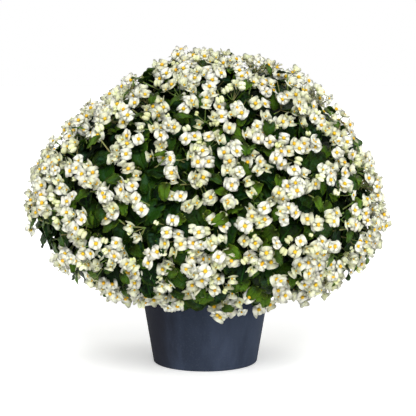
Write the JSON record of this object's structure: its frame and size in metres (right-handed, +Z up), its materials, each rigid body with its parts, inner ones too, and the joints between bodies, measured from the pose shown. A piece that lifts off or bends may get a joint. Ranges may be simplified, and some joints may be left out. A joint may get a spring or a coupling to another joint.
{
  "type": "potted begonia",
  "caption": "Potted hybrid begonia: a dense dome of heart-shaped leaves covered in sprays of white single flowers, growing in a plain tapered planter.",
  "frame": {"origin": "centre of the planter's flat underside, which stands on the floor", "axes": "+Z up along the planter's axis, -Y towards the picture's viewer, +X to the viewer's right; the camera looks along +Y"},
  "size_m": [0.7911, 0.7743, 0.6693],
  "materials": {
    "planter_plastic": "satin",
    "potting_soil": "matte",
    "leaf": "gloss",
    "petal": "satin"
  },
  "bodies": {
    "root": {"pot": "planter_plastic", "soil": "potting_soil", "foliage": "leaf", "flower_spray_01": "petal", "flower_spray_02": "petal", "flower_spray_03": "petal", "flower_spray_04": "petal", "flower_spray_05": "petal", "flower_spray_06": "petal", "flower_spray_07": "petal", "flower_spray_08": "petal", "flower_spray_09": "petal", "flower_spray_10": "petal", "flower_spray_11": "petal", "flower_spray_12": "petal", "flower_spray_13": "petal", "flower_spray_14": "petal", "flower_spray_15": "petal", "flower_spray_16": "petal", "flower_spray_17": "petal", "flower_spray_18": "petal", "flower_spray_19": "petal", "flower_spray_20": "petal", "flower_spray_21": "petal", "flower_spray_22": "petal", "flower_spray_23": "petal", "flower_spray_24": "petal", "flower_spray_25": "petal", "flower_spray_26": "petal", "flower_spray_27": "petal", "flower_spray_28": "petal", "flower_spray_29": "petal", "flower_spray_30": "petal", "flower_spray_31": "petal", "flower_spray_32": "petal", "flower_spray_33": "petal", "flower_spray_34": "petal", "flower_spray_35": "petal", "flower_spray_36": "petal", "flower_spray_37": "petal", "flower_spray_38": "petal", "flower_spray_39": "petal"}
  },
  "joints": []
}
